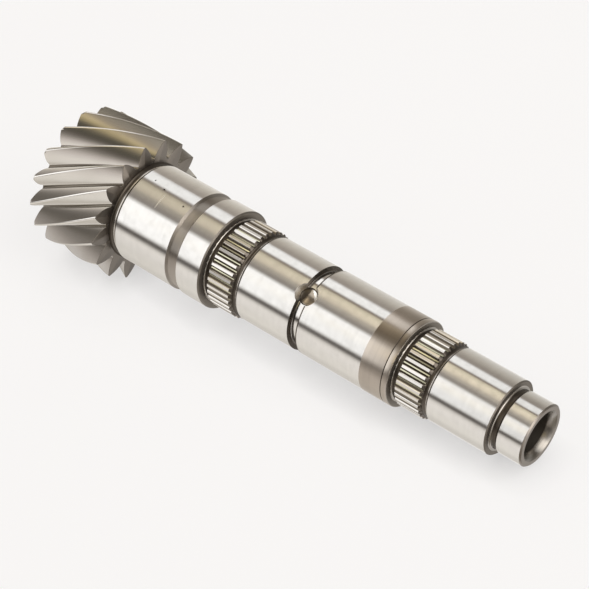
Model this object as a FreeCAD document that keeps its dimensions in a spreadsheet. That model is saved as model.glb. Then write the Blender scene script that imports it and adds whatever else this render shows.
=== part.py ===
import FreeCAD, Part
import math
import os
import Sketcher
from FreeCAD import Rotation, Vector

# A shaft with an integral helical pinion: it stands on the flat end of the pinion,
# +Z runs up the shaft axis, and the origin is at the middle of that end.
# The pinion and the shaft are one forging, kept as two solids that share the disc between them.

# Driving dimensions in millimetres and degrees, from the pinion end to the bore end
sizes = {
    # helical pinion
    "pinionWidth": 40.4,
    "pinionTipRadius": 34.25,
    "pinionRootRadius": 25.8,
    "pinionBaseRadius": 26.1,
    "pinionTeeth": 16,
    "pinionTwist": 42.8,
    "pinionPhase": 1.2,
    "pinionLandHalfAngle": 0.75,
    "pinionGapFloorHalfAngle": 1.93,
    "pinionGapOverrun": 1.0,
    "pinionFarChamfer": 1.1,
    "pinionNearChamfer": 0.3,
    # relief between the pinion and the first journal
    "pinionNeckRadius": 22.6,
    "pinionNeckWidth": 3.0,
    "firstJournalLead": 0.8,
    # first journal with its shallow band
    "firstJournalRadius": 23.6,
    "firstJournalInnerWidth": 30.2,
    "bandWidth": 6.5,
    "bandDepth": 1.05,
    "firstJournalOuterWidth": 12.6,
    "firstJournalChamfer": 0.6,
    # first spline with the relief on each side
    "firstSplineNeckRadius": 19.6,
    "firstSplineNeckWidth": 2.7,
    "firstSplineWidth": 13.4,
    "firstSplineRadius": 21.0,
    "firstSplineRootRadius": 19.8,
    "firstSplineTeeth": 36,
    "firstSplineGapTop": 2.1,
    "firstSplineGapFloor": 0.85,
    "firstSplineLead": 0.3,
    "firstSplineBevel": 1.5,
    "secondNeckRadius": 19.2,
    "secondNeckWidth": 2.1,
    "secondJournalLead": 0.8,
    # second journal, cut by the locating ring's groove
    "secondJournalRadius": 20.0,
    "secondJournalWidth": 28.6,
    "ringGrooveWidth": 5.0,
    "ringGrooveRadius": 18.0,
    "ringGrooveChamfer": 0.4,
    "thirdJournalWidth": 44.7,
    "hairlineDepth": 0.2,
    "shoulderRingWidth": 2.8,
    "shoulderChamfer": 0.3,
    # pocket that holds the locating ring's ball
    "ballPocketRadius": 5.4,
    "ballPocketFloorRadius": 14.4,
    "ballPocketAngle": -8.3,
    # second spline with the relief on each side
    "thirdNeckRadius": 16.4,
    "thirdNeckWidth": 2.3,
    "secondSplineWidth": 13.6,
    "secondSplineRadius": 17.8,
    "secondSplineRootRadius": 16.6,
    "secondSplineTeeth": 31,
    "secondSplineGapTop": 2.25,
    "secondSplineGapFloor": 0.9,
    "secondSplineLead": 0.6,
    "secondSplineBevel": 1.6,
    "fourthNeckRadius": 16.1,
    "fourthNeckWidth": 1.85,
    "fourthJournalLead": 0.8,
    # fourth journal and the spigot at the bore end
    "fourthJournalRadius": 17.0,
    "fourthJournalWidth": 28.5,
    "fourthJournalChamfer": 0.5,
    "spigotNeckRadius": 13.4,
    "spigotNeckWidth": 2.7,
    "spigotLead": 0.7,
    "spigotRadius": 14.1,
    "spigotWidth": 11.15,
    "spigotChamfer": 0.7,
    # blind bore with a conical mouth
    "boreRadius": 9.7,
    "boreDepth": 70.0,
    "mouthRadius": 11.55,
    "mouthDepth": 3.4,
    "drillPointDepth": 5.8,
}

doc = FreeCAD.newDocument("PinionShaft")
sheet = doc.addObject("Spreadsheet::Sheet", "Dimensions")
for row, (name, value) in enumerate(sizes.items(), start=1):
    sheet.set(f"A{row}", name)
    sheet.set(f"B{row}", str(value))
    sheet.setAlias(f"B{row}", name)
doc.recompute()


def amount(formula):
    """Return the value of a sum of named sizes, such as "boreDepth - mouthDepth"."""
    value = 0.0
    sign = 1
    for word in formula.split():
        if word in ("+", "-"):
            sign = 1 if word == "+" else -1
        else:
            value += sign * float(sheet.get(word))
    return value


def bound(formula):
    """Return the same sum as an expression on the spreadsheet's cells."""
    return " ".join(word if word in ("+", "-") else "Dimensions." + word for word in formula.split())


def originPlane(body, role):
    """Return the body's own origin plane or axis that has this role."""
    for feature in body.Origin.OriginFeatures:
        if feature.Role == role:
            return feature
    raise ValueError(role)


def sketchOn(body, name, role):
    """Return a new sketch on one of the body's origin planes."""
    sketch = body.newObject("Sketcher::SketchObject", name)
    sketch.AttachmentSupport = [(originPlane(body, role), "")]
    sketch.MapMode = "FlatFace"
    return sketch


def halfOutline(sketch, corners):
    """Draw a closed half section. Each corner has its radius and its rise above the corner before."""
    places = []
    height = 0.0
    for radius, rise in corners:
        height += amount(rise)
        places.append(Vector(amount(radius), height, 0))
    count = len(places)
    for index in range(count):
        sketch.addGeometry(Part.LineSegment(places[index], places[(index + 1) % count]), False)
    limits = []
    bindings = []
    for index, (radius, rise) in enumerate(corners):
        limits.append(Sketcher.Constraint("Coincident", index, 2, (index + 1) % count, 1))
        if radius:
            bindings.append((len(limits), radius))
            limits.append(Sketcher.Constraint("DistanceX", -1, 1, index, 1, amount(radius)))
        else:
            limits.append(Sketcher.Constraint("PointOnObject", index, 1, -2))
        if index == 0:
            if rise:
                bindings.append((len(limits), rise))
                limits.append(Sketcher.Constraint("DistanceY", -1, 1, index, 1, amount(rise)))
            else:
                limits.append(Sketcher.Constraint("PointOnObject", index, 1, -1))
        elif not rise:
            limits.append(Sketcher.Constraint("Horizontal", index - 1))
        elif amount(rise) < 0:
            swapped = " ".join({"+": "-", "-": "+"}.get(word, word) for word in rise.split())
            swapped = swapped[2:] if swapped.startswith("+ ") else "- " + swapped
            bindings.append((len(limits), swapped))
            limits.append(Sketcher.Constraint("DistanceY", index, 1, index - 1, 1, amount(swapped)))
        else:
            bindings.append((len(limits), rise))
            limits.append(Sketcher.Constraint("DistanceY", index - 1, 1, index, 1, amount(rise)))
    sketch.addConstraint(limits)
    for place, formula in bindings:
        sketch.setExpression(f"Constraints[{place}]", bound(formula))


def turn(holder, sketch, name):
    """Revolve a half section of a body about the sketch's vertical axis."""
    feature = holder.newObject("PartDesign::Revolution", name)
    feature.Profile = sketch
    feature.ReferenceAxis = (sketch, ["V_Axis"])
    feature.Angle = 360
    doc.recompute()


def addStations(*formulas):
    """Join sums of named sizes into one sum."""
    return " + ".join(formulas)


# Heights of the shoulders that later cuts start from
pinionTop = "pinionWidth"
firstJournalFoot = addStations(pinionTop, "pinionNeckWidth", "firstJournalLead")
firstJournalTop = addStations(firstJournalFoot, "firstJournalInnerWidth", "bandWidth",
                              "firstJournalOuterWidth", "firstJournalChamfer")
firstSplineFoot = addStations(firstJournalTop, "firstSplineNeckWidth")
firstSplineTop = addStations(firstSplineFoot, "firstSplineWidth")
ringGrooveFoot = addStations(firstSplineTop, "secondNeckWidth", "secondJournalLead",
                             "secondJournalWidth")
shoulderTop = addStations(ringGrooveFoot, "ringGrooveWidth", "thirdJournalWidth",
                          "hairlineDepth", "hairlineDepth", "shoulderRingWidth")
secondSplineFoot = addStations(shoulderTop, "thirdNeckWidth")
secondSplineTop = addStations(secondSplineFoot, "secondSplineWidth")
spigotFoot = addStations(secondSplineTop, "fourthNeckWidth", "fourthJournalLead",
                         "fourthJournalWidth", "fourthJournalChamfer", "spigotNeckWidth", "spigotLead")
shaftTop = addStations(spigotFoot, "spigotWidth", "spigotChamfer")

# Turned blank of the pinion
blank = doc.addObject("PartDesign::Body", "PinionBlank")
blank.Label = "pinion_blank"
blankSketch = sketchOn(blank, "BlankOutline", "XZ_Plane")
halfOutline(blankSketch, [
    ("", ""),
    ("pinionTipRadius - pinionFarChamfer", ""),
    ("pinionTipRadius", "pinionFarChamfer"),
    ("pinionTipRadius", "pinionWidth - pinionFarChamfer - pinionNearChamfer"),
    ("pinionTipRadius - pinionNearChamfer", "pinionNearChamfer"),
    ("", ""),
])
turn(blank, blankSketch, "BlankTurned")

# Turned shaft: journals, reliefs, grooves and the blanks of both splines
body = doc.addObject("PartDesign::Body", "ShaftBody")
body.Label = "splined_shaft"
shaftSketch = sketchOn(body, "ShaftOutline", "XZ_Plane")
halfOutline(shaftSketch, [
    ("", "pinionWidth"),
    ("pinionNeckRadius", ""),
    ("pinionNeckRadius", "pinionNeckWidth"),
    ("firstJournalRadius", "firstJournalLead"),
    ("firstJournalRadius", "firstJournalInnerWidth"),
    ("firstJournalRadius - bandDepth", "bandDepth"),
    ("firstJournalRadius - bandDepth", "bandWidth - bandDepth - bandDepth"),
    ("firstJournalRadius", "bandDepth"),
    ("firstJournalRadius", "firstJournalOuterWidth"),
    ("firstJournalRadius - firstJournalChamfer", "firstJournalChamfer"),
    ("firstSplineNeckRadius", ""),
    ("firstSplineNeckRadius", "firstSplineNeckWidth"),
    ("firstSplineRadius - firstSplineLead", ""),
    ("firstSplineRadius", "firstSplineLead"),
    ("firstSplineRadius", "firstSplineWidth - firstSplineLead - firstSplineBevel"),
    ("firstSplineRootRadius", "firstSplineBevel"),
    ("secondNeckRadius", ""),
    ("secondNeckRadius", "secondNeckWidth"),
    ("secondJournalRadius", "secondJournalLead"),
    ("secondJournalRadius", "secondJournalWidth"),
    ("ringGrooveRadius", ""),
    ("ringGrooveRadius", "ringGrooveWidth"),
    ("secondJournalRadius - ringGrooveChamfer", ""),
    ("secondJournalRadius", "ringGrooveChamfer"),
    ("secondJournalRadius", "thirdJournalWidth - ringGrooveChamfer"),
    ("secondJournalRadius - hairlineDepth", "hairlineDepth"),
    ("secondJournalRadius", "hairlineDepth"),
    ("secondJournalRadius", "shoulderRingWidth - shoulderChamfer"),
    ("secondJournalRadius - shoulderChamfer", "shoulderChamfer"),
    ("thirdNeckRadius", ""),
    ("thirdNeckRadius", "thirdNeckWidth"),
    ("secondSplineRadius - secondSplineLead", ""),
    ("secondSplineRadius", "secondSplineLead"),
    ("secondSplineRadius", "secondSplineWidth - secondSplineLead - secondSplineBevel"),
    ("secondSplineRootRadius", "secondSplineBevel"),
    ("fourthNeckRadius", ""),
    ("fourthNeckRadius", "fourthNeckWidth"),
    ("fourthJournalRadius", "fourthJournalLead"),
    ("fourthJournalRadius", "fourthJournalWidth"),
    ("fourthJournalRadius - fourthJournalChamfer", "fourthJournalChamfer"),
    ("spigotNeckRadius", ""),
    ("spigotNeckRadius", "spigotNeckWidth"),
    ("spigotRadius", "spigotLead"),
    ("spigotRadius", "spigotWidth"),
    ("spigotRadius - spigotChamfer", "spigotChamfer"),
    ("mouthRadius", ""),
    ("boreRadius", "- mouthDepth"),
    ("boreRadius", "- boreDepth + mouthDepth"),
    ("", "- drillPointDepth"),
])
turn(body, shaftSketch, "ShaftTurned")


def cutSpline(prefix, foot, top, gapOverrun):
    """Cut one tooth gap of a spline along its blank and repeat it round the axis."""
    start = addStations(top, gapOverrun)
    sketch = sketchOn(body, prefix + "GapOutline", "XY_Plane")
    sketch.setExpression("AttachmentOffset.Base.z", bound(start))
    rootRadius = amount(prefix + "SplineRootRadius")
    tipRadius = amount(prefix + "SplineRadius")
    floorHalf = amount(prefix + "SplineGapFloor") / 2
    topHalf = amount(prefix + "SplineGapTop") / 2
    rise = tipRadius - rootRadius
    corners = [(rootRadius, -floorHalf), (tipRadius, -topHalf), (tipRadius + rise, -topHalf),
               (tipRadius + rise, topHalf), (tipRadius, topHalf), (rootRadius, floorHalf)]
    places = [Vector(x, y, 0) for x, y in corners]
    count = len(places)
    for index in range(count):
        sketch.addGeometry(Part.LineSegment(places[index], places[(index + 1) % count]), False)
    limits = [Sketcher.Constraint("Coincident", index, 2, (index + 1) % count, 1) for index in range(count)]
    limits += [Sketcher.Constraint("Horizontal", 1), Sketcher.Constraint("Vertical", 2),
               Sketcher.Constraint("Horizontal", 3)]
    limits += [Sketcher.Constraint("Symmetric", 0, 1, 5, 1, -1), Sketcher.Constraint("Symmetric", 1, 1, 4, 1, -1)]
    named = [
        ("DistanceX", (-1, 1, 0, 1), rootRadius, prefix + "SplineRootRadius"),
        ("DistanceX", (-1, 1, 1, 1), tipRadius, prefix + "SplineRadius"),
        ("DistanceX", (1, 1, 1, 2), rise, prefix + "SplineRadius - " + prefix + "SplineRootRadius"),
        ("DistanceY", (0, 1, 5, 1), 2 * floorHalf, prefix + "SplineGapFloor"),
        ("DistanceY", (1, 1, 4, 1), 2 * topHalf, prefix + "SplineGapTop"),
    ]
    first = len(limits)
    limits += [Sketcher.Constraint(kind, *ends, value) for kind, ends, value, formula in named]
    sketch.addConstraint(limits)
    for offset, (kind, ends, value, formula) in enumerate(named):
        sketch.setExpression(f"Constraints[{first + offset}]", bound(formula))
    gap = body.newObject("PartDesign::Pocket", prefix + "Gap")
    gap.Profile = sketch
    gap.Length = amount(prefix + "SplineWidth") + 2 * amount(gapOverrun)
    gap.setExpression("Length", bound(addStations(prefix + "SplineWidth", gapOverrun, gapOverrun)))
    gap.Reversed = False
    pattern = body.newObject("PartDesign::PolarPattern", prefix + "Gaps")
    pattern.Originals = [gap]
    pattern.Axis = (originPlane(body, "Z_Axis"), [""])
    pattern.Angle = 360
    pattern.setExpression("Occurrences", bound(prefix + "SplineTeeth"))
    body.Tip = pattern
    doc.recompute()
    return pattern


cutSpline("first", firstSplineFoot, firstSplineTop, "firstSplineLead")
cutSpline("second", secondSplineFoot, secondSplineTop, "secondSplineLead")


def involuteAngle(baseRadius, radius):
    """Return how far an involute has turned at this radius, in radians."""
    pressure = math.acos(min(1.0, baseRadius / radius))
    return math.tan(pressure) - pressure


def toothGapOutline():
    """Return the closed section of one pinion tooth gap, centred on the X axis."""
    tip = amount("pinionTipRadius")
    root = amount("pinionRootRadius")
    base = amount("pinionBaseRadius")
    foot = max(base, root + 0.01 * (tip - root))
    floorHalf = math.radians(amount("pinionGapFloorHalfAngle"))
    tipHalf = math.pi / amount("pinionTeeth") - math.radians(amount("pinionLandHalfAngle"))
    spread = (tipHalf - floorHalf) / (involuteAngle(base, tip) - involuteAngle(base, foot))
    beyond = tip * 1.02
    samples = 6
    upper = []
    for step in range(samples + 1):
        radius = foot + (beyond - foot) * (step / samples) ** 2
        angle = floorHalf + spread * (involuteAngle(base, radius) - involuteAngle(base, foot))
        upper.append(Vector(radius * math.cos(angle), radius * math.sin(angle), 0))
    lower = [Vector(point.x, -point.y, 0) for point in upper]
    upperFlank = Part.BSplineCurve()
    upperFlank.interpolate(upper)
    lowerFlank = Part.BSplineCurve()
    lowerFlank.interpolate(lower)
    floorUpper = Vector(root * math.cos(floorHalf), root * math.sin(floorHalf), 0)
    floorLower = Vector(floorUpper.x, -floorUpper.y, 0)
    outside = Vector(tip * 1.2, 0, 0)
    edges = [
        Part.Arc(floorLower, Vector(root, 0, 0), floorUpper).toShape(),
        Part.LineSegment(floorUpper, upper[0]).toShape(),
        upperFlank.toShape(),
        Part.LineSegment(upper[-1], outside).toShape(),
        Part.LineSegment(outside, lower[-1]).toShape(),
        lowerFlank.toShape(),
        Part.LineSegment(lower[0], floorLower).toShape(),
    ]
    return Part.Wire(Part.__sortEdges__(edges))


def toothGapSolid():
    """Sweep the gap's section up the pinion while it turns clockwise seen from the bore end."""
    width = amount("pinionWidth")
    overrun = amount("pinionGapOverrun")
    length = width + 2 * overrun
    turn = amount("pinionTwist") / width
    spine = Part.Wire([Part.makeLine(Vector(0, 0, 0), Vector(0, 0, length))])
    guide = Part.makeHelix(360 / turn, length, amount("pinionTipRadius"), 0, True)
    sweep = Part.BRepOffsetAPI.MakePipeShell(Part.Wire(spine))
    sweep.setAuxiliarySpine(Part.Wire(guide.Edges), True, 0)
    sweep.add(toothGapOutline())
    sweep.build()
    sweep.makeSolid()
    gap = sweep.shape()
    gap.translate(Vector(0, 0, -overrun))
    # A tooth's middle is at the phase angle on the journal side, counted from -Y
    startTurn = turn * (width + overrun)
    halfPitch = 180 / amount("pinionTeeth")
    gap.rotate(Vector(0, 0, 0), Vector(0, 0, 1), startTurn + halfPitch + amount("pinionPhase") - 90)
    return gap


# Pinion tooth gaps: one swept solid, repeated round the axis
gapSolid = toothGapSolid()
gapSolids = []
for number in range(int(amount("pinionTeeth"))):
    copy = gapSolid.copy()
    copy.rotate(Vector(0, 0, 0), Vector(0, 0, 1), number * 360 / amount("pinionTeeth"))
    gapSolids.append(copy)
toothGaps = doc.addObject("Part::Feature", "PinionGaps")
toothGaps.Label = "pinion_gaps"
toothGaps.Shape = Part.Compound(gapSolids)

# Ball pocket: a round hole with a spherical floor, sunk from the ring groove
pocketWall = doc.addObject("Part::Cylinder", "PocketWall")
pocketWall.Label = "pocket_wall"
pocketWall.setExpression("Radius", bound("ballPocketRadius"))
pocketWall.setExpression("Height", bound("secondJournalRadius"))
pocketFloor = doc.addObject("Part::Sphere", "PocketFloor")
pocketFloor.Label = "pocket_floor"
pocketFloor.setExpression("Radius", bound("ballPocketRadius"))
outward = Vector(math.sin(math.radians(amount("ballPocketAngle"))),
                 -math.cos(math.radians(amount("ballPocketAngle"))), 0)
pocketTurn = Rotation(Vector(0, 0, 1), outward)
centreRadius = "(Dimensions.ballPocketFloorRadius + Dimensions.ballPocketRadius)"
for tool in (pocketWall, pocketFloor):
    tool.Placement = FreeCAD.Placement(Vector(0, 0, 0), pocketTurn)
    tool.setExpression("Placement.Base.x", f"{centreRadius} * sin(Dimensions.ballPocketAngle * 1 deg)")
    tool.setExpression("Placement.Base.y", f"-{centreRadius} * cos(Dimensions.ballPocketAngle * 1 deg)")
    tool.setExpression("Placement.Base.z", bound(ringGrooveFoot) + " + Dimensions.ringGrooveWidth / 2")
pocket = doc.addObject("Part::Fuse", "BallPocket")
pocket.Label = "ball_pocket"
pocket.Base = pocketWall
pocket.Tool = pocketFloor

pinion = doc.addObject("Part::Cut", "Pinion")
pinion.Label = "pinion"
pinion.Base = blank
pinion.Tool = toothGaps
pinion.Placement = FreeCAD.Placement(Vector(0, 0, 0), Rotation())

shaft = doc.addObject("Part::Cut", "Shaft")
shaft.Label = "shaft"
shaft.Base = body
shaft.Tool = pocket
shaft.Placement = FreeCAD.Placement(Vector(0, 0, 0), Rotation())
doc.recompute()

for item in doc.Objects:
    if "Invalid" in item.State or "Error" in item.State:
        raise RuntimeError(f"{item.Name}: {item.State}")
    shape = getattr(item, "Shape", None)
    if shape is not None and item.TypeId != "Sketcher::SketchObject" and (shape.isNull() or not shape.isValid()):
        raise RuntimeError(f"{item.Name}: the shape is not valid")
for part in (pinion, shaft):
    if len(part.Shape.Solids) != 1:
        raise RuntimeError(f"{part.Label}: expected one solid, found {len(part.Shape.Solids)}")
if abs(shaft.Shape.BoundBox.ZMin - amount(pinionTop)) > 1e-6:
    raise RuntimeError("the shaft does not start on the pinion's face")
if abs(shaft.Shape.BoundBox.ZMax - amount(shaftTop)) > 1e-6:
    raise RuntimeError("the shaft's length does not match its stations")

os.makedirs("parts", exist_ok=True)
for part in (pinion, shaft):
    part.Shape.exportStep(f"parts/{part.Label}.step")
    bounds = part.Shape.BoundBox
    print(part.Label, round(bounds.XLength, 3), round(bounds.YLength, 3), round(bounds.ZLength, 3),
          "volume", round(part.Shape.Volume / 1000, 2), "cm3")
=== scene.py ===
import bpy
import bmesh
import math
from mathutils import Matrix, Vector


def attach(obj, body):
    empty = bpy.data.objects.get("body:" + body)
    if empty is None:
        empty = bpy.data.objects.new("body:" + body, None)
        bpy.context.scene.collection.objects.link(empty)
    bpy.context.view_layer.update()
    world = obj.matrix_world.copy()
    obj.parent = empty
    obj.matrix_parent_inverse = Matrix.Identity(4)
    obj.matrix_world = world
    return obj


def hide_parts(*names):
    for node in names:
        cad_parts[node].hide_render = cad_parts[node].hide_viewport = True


# A gearbox shaft with an integral helical pinion. Sizes in the dictionaries are millimetres,
# radii and heights as in the part's own frame: +Z runs up the axis from the pinion's flat end.
# Angles round the axis are degrees from -Y, the side that faces the camera, towards +X.
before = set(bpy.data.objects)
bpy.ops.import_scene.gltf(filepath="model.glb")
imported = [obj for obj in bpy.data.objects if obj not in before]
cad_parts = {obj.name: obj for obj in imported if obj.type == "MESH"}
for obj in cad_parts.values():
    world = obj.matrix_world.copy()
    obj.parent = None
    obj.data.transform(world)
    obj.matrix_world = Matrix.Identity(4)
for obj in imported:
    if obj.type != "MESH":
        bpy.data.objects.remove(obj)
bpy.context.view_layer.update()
print("frame loaded", sorted(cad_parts))

mm = 0.001
root = "root"
# sockets of a Mix node that share their names with others: its two colours, and the mixed one
colourA, colourB, colourOut = 6, 7, 2


def linearColour(code):
    # sRGB hex to the linear colour that Blender's sockets hold
    parts = [int(code[i:i + 2], 16) / 255 for i in (1, 3, 5)]
    linear = [c / 12.92 if c <= 0.04045 else ((c + 0.055) / 1.055) ** 2.4 for c in parts]
    return tuple(linear) + (1.0,)


def fillRamp(ramp, stops):
    # a stop's value is an sRGB code, a grey level or a linear colour
    points = ramp.elements
    while len(points) > 1:
        points.remove(points[-1])
    for index, (place, colour) in enumerate(stops):
        point = points[0] if index == 0 else points.new(place)
        point.position = place
        if isinstance(colour, str):
            point.color = linearColour(colour)
        elif isinstance(colour, tuple):
            point.color = colour + (1,)
        else:
            point.color = (colour, colour, colour, 1)


def addNode(tree, kind, settings=None, values=None):
    # one node with its settings; a value that is a socket becomes a link
    node = tree.nodes.new(kind)
    for name, value in (settings or {}).items():
        if name == "color_ramp":
            fillRamp(node.color_ramp, value)
        else:
            setattr(node, name, value)
    for key, value in (values or {}).items():
        socket = node.inputs[key]
        if isinstance(value, bpy.types.NodeSocket):
            tree.links.new(value, socket)
        else:
            socket.default_value = value
    return node


def bearingStops(stops):
    # stops by bearing, -180 to 180 degrees, as places on a ramp
    return [((bearing + 180) / 360, value) for bearing, value in stops]


def leanStops(stops):
    # stops by lean, from -1 straight down the axis to 1 straight up it, as places on a ramp
    return [((lean + 1) / 2, value) for lean, value in stops]


def bearingOf(tree, axes):
    # the bearing, in radians, of a vector that is split into its axes
    near = addNode(tree, "ShaderNodeMath", {"operation": "MULTIPLY"},
                   {0: axes.outputs["Y"], 1: -1.0})
    bearing = addNode(tree, "ShaderNodeMath", {"operation": "ARCTAN2"},
                      {0: axes.outputs["X"], 1: near.outputs[0]})
    return bearing.outputs[0]


studio = {
    "strength": 1.5,
    # what the camera sees past the table
    "backdrop": "#F5F4F2",
    # colour of the room by the bearing of a direction, as a polished cylinder shows it
    "bearings": [
        (-180, "#D9D7D3"), (-150, "#C9C5BE"), (-120, "#B0AAA0"), (-97, "#958E86"), (-89, "#938C85"),
        (-84, "#F2F2F2"), (-63, "#F4F4F3"), (-60, "#72675D"), (-56.5, "#72675D"), (-54, "#ABA390"),
        (-44, "#C2B9A5"), (-34, "#BCB2A0"), (-26, "#999286"), (-16, "#7F7973"), (-11, "#7A7570"),
        (-7, "#B9B7B4"), (-2, "#FBFBFB"), (42, "#FBFBFB"), (46, "#F0F0EF"), (49.5, "#C9C8C6"),
        (52.5, "#7F7B77"), (55, "#45413E"), (58.5, "#45413E"), (62, "#77736F"), (66, "#BDB9B3"),
        (72, "#D9D5D0"), (82, "#DDD9D4"), (100, "#D3CFC9"), (120, "#D0CCC5"), (140, "#BEBAB3"),
        (160, "#B9B4AE"), (180, "#D9D7D3"),
    ],
    # the bands close up towards the camera's side as a direction leans up the axis: the rate,
    # the share at no lean, and the most
    "closing": (0.68, 1.32, 1.1),
    # how bright the room is by how far the direction leans up the shaft's axis; a stop is a
    # grey level or a colour
    "lean": [(-1.0, 0.55), (-0.9, 0.75), (-0.8, 1.0), (-0.2, 1.0), (0.1, 0.8), (0.4, 0.7),
             (0.62, 0.7), (0.85, 0.9), (1.0, 1.6)],
    # parts of the room with a lean of their own, each faded in by the bearing
    "zones": {
        # the wall on the left
        "leftWall": (
            [(-176, 0.0), (-160, 1.0), (-92, 1.0), (-84, 0.0)],
            [(-1.0, 0.6), (-0.8, 1.1), (-0.6, 1.15), (-0.54, 1.12), (-0.44, 0.95), (-0.36, 0.84),
             (-0.1, 0.9), (0.1, 0.7), (0.3, 0.3), (0.66, 0.3), (0.85, 0.9), (1.0, 1.6)]),
        # the dark side, behind the camera
        "darkSide": (
            [(-100, 0.0), (-75, 1.0), (75, 1.0), (100, 0.0)],
            [(-1.0, 0.6), (-0.8, 1.2), (-0.64, 1.25), (-0.57, 1.0), (-0.2, 1.0), (0.0, 0.9),
             (0.18, (0.24, 0.22, 0.2)), (0.72, (0.18, 0.165, 0.15)), (0.85, 0.3), (0.95, 1.2),
             (1.0, 1.6)]),
        # the lamp on the left, seen whole by the middle journals only
        "leftLamp": (
            [(-86, 0.0), (-82, 1.0), (-64, 1.0), (-58, 0.0)],
            [(-1.0, 0.55), (-0.8, 0.9), (-0.6, 0.8), (-0.54, 0.82), (-0.479, 1.14), (-0.42, 1.14),
             (-0.37, 1.07), (-0.34, 0.96), (-0.2, 0.9), (0.1, 0.8), (0.4, 0.7), (0.62, 0.7),
             (0.85, 0.9), (1.0, 1.6)]),
        # brown boards on the right
        "brownSide": (
            [(60, 0.0), (82, 1.0), (156, 1.0), (174, 0.0)],
            [(-1.0, 0.6), (-0.8, 0.72), (-0.66, 0.65), (-0.58, 0.85), (-0.54, 1.0), (-0.3, 1.0),
             (-0.05, 0.9), (0.12, (0.30, 0.27, 0.21)), (0.5, (0.26, 0.23, 0.18)), (0.8, 0.4),
             (1.0, 1.6)]),
        # the big lamp falls off towards the spigot's end
        "lampFall": (
            [(-8, 0.0), (0, 0.25), (21, 0.65), (38, 1.0), (46, 1.0), (60, 0.0)],
            [(-1.0, 0.6), (-0.8, 1.2), (-0.64, 1.25), (-0.57, 1.0), (-0.42, 1.0), (-0.372, 0.86),
             (-0.345, 0.81), (-0.2, 0.76), (0.0, 0.7), (0.18, (0.24, 0.22, 0.2)),
             (0.72, (0.18, 0.165, 0.15)), (0.85, 0.3), (0.95, 1.2), (1.0, 1.6)]),
        # the warm ceiling between the two lamps
        "ceiling": (
            [(-60, 0.0), (-55, 1.0), (-22, 1.0), (-8, 0.0)],
            [(-1.0, 0.6), (-0.8, 0.65), (-0.62, 0.65), (-0.54, 0.8), (-0.48, 1.08), (-0.44, 1.3),
             (-0.37, 2.15), (-0.32, 2.6), (-0.2, 0.5), (-0.05, 0.2), (0.2, 0.12), (0.66, 0.1),
             (0.8, 1.6), (1.0, 2.0)]),
    },
    # rooms of their own, by bearing, for directions that lean up the axis and straight down it:
    # the pinion's flanks mirror these. Each has how far it is mixed in, by lean
    "bands": {
        "up": (
            [(-0.3, 0.0), (-0.15, 1.0), (0.33, 1.0), (0.42, 0.0)],
            [(-180, "#9E9C99"), (-150, "#9B9A97"), (-122, "#9D9C99"), (-112, "#807D7A"),
             (-104, "#69655F"), (-94, "#67625D"), (-76, "#5F5B54"), (-60, "#57524B"),
             (-46, "#5A564E"), (-30, "#615C51"), (-14, "#6F685A"), (-3, "#877C6C"),
             (4, "#A69A82"), (9, "#CBBD9A"), (16, "#C6B78F"), (24, "#9D9170"), (31, "#676155"),
             (38, "#4A483F"), (46, "#48463E"), (54, "#57524D"), (62, "#726D69"), (70, "#95918D"),
             (77, "#B5B0AD"), (85, "#CCC7C6"), (95, "#D8D5D4"), (106, "#E3E0DE"),
             (140, "#E1E0DE"), (162, "#BBB8B7"), (180, "#9E9C99")]),
        "down": (
            [(-0.9, 1.0), (-0.74, 0.0)],
            [(-180, "#C2C0BF"), (-150, "#BBB8B6"), (-125, "#B9B5B2"), (-108, "#AAA6A4"),
             (-96, "#8D8884"), (-84, "#6E6A66"), (-66, "#54514D"), (-45, "#615D58"),
             (-24, "#7A7570"), (0, "#66615D"), (30, "#68645F"), (48, "#857E7B"),
             (60, "#9E9996"), (74, "#B3AFAB"), (100, "#BEBBBC"), (120, "#D2D0D2"),
             (150, "#D8D6D9"), (180, "#C2C0BF")]),
    },
    # a lamp past the spigot's end: its colour, and how far it is mixed in by bearing and by lean
    "endLamp": {
        "colour": (1.64, 1.59, 1.52, 1),
        "bearing": [(-78, 0.0), (-54, 1.0), (-16, 1.0), (10, 0.0)],
        "lean": [(0.33, 0.0), (0.46, 1.0)],
    },
}


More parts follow.
